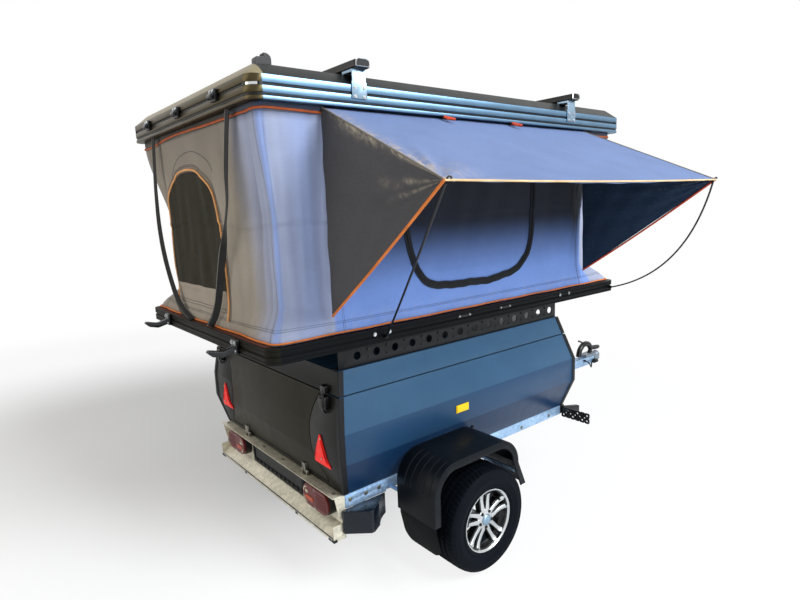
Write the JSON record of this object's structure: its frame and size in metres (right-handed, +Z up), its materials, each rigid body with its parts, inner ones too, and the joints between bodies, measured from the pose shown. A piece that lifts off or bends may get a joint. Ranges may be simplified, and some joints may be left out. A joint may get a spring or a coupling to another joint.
{
  "type": "box trailer with pop-up roof tent",
  "caption": "Single-axle box trailer with faceted body, hinged lid and tailgate, carrying an erected hard-shell pop-up tent with a side awning.",
  "frame": {"origin": "centre of the coupling's ball socket", "axes": "+X forward, past the coupling; +Y to the trailer's left; +Z up. y = 0 is the trailer's centre plane"},
  "size_m": [3.2838, 2.1893, 2.132],
  "materials": {
    "galvanised_steel": "hot-dip galvanised, dull spangle",
    "zinc_casting": "bright zinc plated pressing",
    "galvanised_sheet": "galvanised sheet",
    "black_plastic": "black moulded plastic",
    "cable_rubber": "black cable sheath",
    "lamp_lens": "red and clear moulded lens",
    "guard_plastic": "black moulded plastic, satin",
    "box_panel": "anthracite powder coat, satin",
    "tailgate_panel": "anthracite powder coat, satin",
    "steel_hardware": "zinc plated",
    "black_hardware": "black coated hardware",
    "reflector": "prismatic reflector",
    "chock_plastic": "black moulded plastic",
    "black_steel": "black powder coat",
    "black_extrusion": "black anodised extrusion",
    "tray_board": "sandwich board",
    "canvas_cloth": "polycotton canvas",
    "awning_cloth": "coated canvas",
    "rod_steel": "spring steel",
    "webbing": "polyester webbing",
    "silver_extrusion": "anodised extrusion",
    "roof_skin": "textured dark coat",
    "bar_aluminium": "black anodised",
    "clamp_steel": "zinc plated",
    "alloy": "machined face, dark pockets",
    "tyre_rubber": "black rubber",
    "solid_rubber": "solid rubber"
  },
  "bodies": {
    "chassis": {"side_rails": "galvanised_steel", "cross_members": "galvanised_steel", "drawbar": "galvanised_steel", "coupling_head": "zinc_casting", "coupling_handle": "black_plastic", "coupling_cable": "cable_rubber", "cable_fittings": "black_plastic", "lamp_board": "galvanised_sheet", "tail_lamps": "lamp_lens", "plate_holder": "black_plastic", "axle_beam": "galvanised_steel", "swing_arms": "galvanised_steel", "mudguard_left": "guard_plastic", "mudguard_right": "guard_plastic", "mud_flaps": "solid_rubber", "mudguard_stays": "galvanised_steel", "box_tub": "box_panel", "hinge_pins": "steel_hardware", "box_latches": "black_hardware", "reflectors": "reflector", "wheel_chocks": "chock_plastic", "chock_holders": "galvanised_sheet", "marker_lamps": "black_hardware", "jockey_clamp": "galvanised_steel"},
    "tailgate_body": {"tailgate": "tailgate_panel", "tailgate_hinges": "steel_hardware"},
    "lid_body": {"box_lid": "box_panel", "lid_hinges": "steel_hardware", "latch_keepers": "black_hardware", "rack_rail_left": "black_steel", "rack_rail_right": "black_steel", "tray_frame": "black_extrusion", "tray_floor": "tray_board", "tray_latches": "black_hardware", "canvas": "canvas_cloth", "awning": "awning_cloth", "awning_rods": "rod_steel", "roof_straps": "webbing"},
    "roof_body": {"roof_frame": "silver_extrusion", "roof_panel": "roof_skin", "roof_crossbars": "bar_aluminium", "crossbar_clamps": "clamp_steel", "roof_catches": "black_hardware", "roof_hook": "black_hardware"},
    "left_wheel": {"rim_left": "alloy", "tyre_left": "tyre_rubber"},
    "right_wheel": {"rim_right": "alloy", "tyre_right": "tyre_rubber"},
    "jockey_leg_body": {"jockey_leg": "galvanised_steel", "jockey_crank": "black_hardware"},
    "jockey_swivel": {"jockey_fork": "galvanised_steel"},
    "jockey_wheel_body": {"jockey_wheel": "solid_rubber"}
  },
  "joints": [
    {"name": "left_wheel_spin", "type": "hinge", "parent": "chassis", "child": "left_wheel", "pos_m": [-2.25, 0.7925, -0.136], "axis": [0, 1, 0], "continuous": true},
    {"name": "right_wheel_spin", "type": "hinge", "parent": "chassis", "child": "right_wheel", "pos_m": [-2.25, -0.7925, -0.136], "axis": [0, 1, 0], "continuous": true},
    {"name": "tailgate_hinge", "type": "hinge", "parent": "chassis", "child": "tailgate_body", "pos_m": [-2.816, 0, 0.089], "axis": [0, -1, 0], "range_deg": [0, 90]},
    {"name": "lid_hinge", "type": "hinge", "parent": "chassis", "child": "lid_body", "pos_m": [-1.31, 0, 0.505], "axis": [0, 1, 0], "range_deg": [0, 30]},
    {"name": "roof_slide", "type": "slide", "parent": "lid_body", "child": "roof_body", "axis": [0, 0, 1], "range_m": [-0.82, 0], "deforming": ["canvas", "awning", "awning_rods", "roof_straps"]},
    {"name": "jockey_slide", "type": "slide", "parent": "chassis", "child": "jockey_leg_body", "axis": [0, 0, 1], "range_m": [0, 0.1]},
    {"name": "jockey_caster", "type": "hinge", "parent": "jockey_leg_body", "child": "jockey_swivel", "pos_m": [-0.52, 0.066, -0.15], "axis": [0, 0, 1], "continuous": true},
    {"name": "jockey_wheel_spin", "type": "hinge", "parent": "jockey_swivel", "child": "jockey_wheel_body", "pos_m": [-0.558, 0.066, -0.27], "axis": [0, 1, 0], "continuous": true}
  ]
}
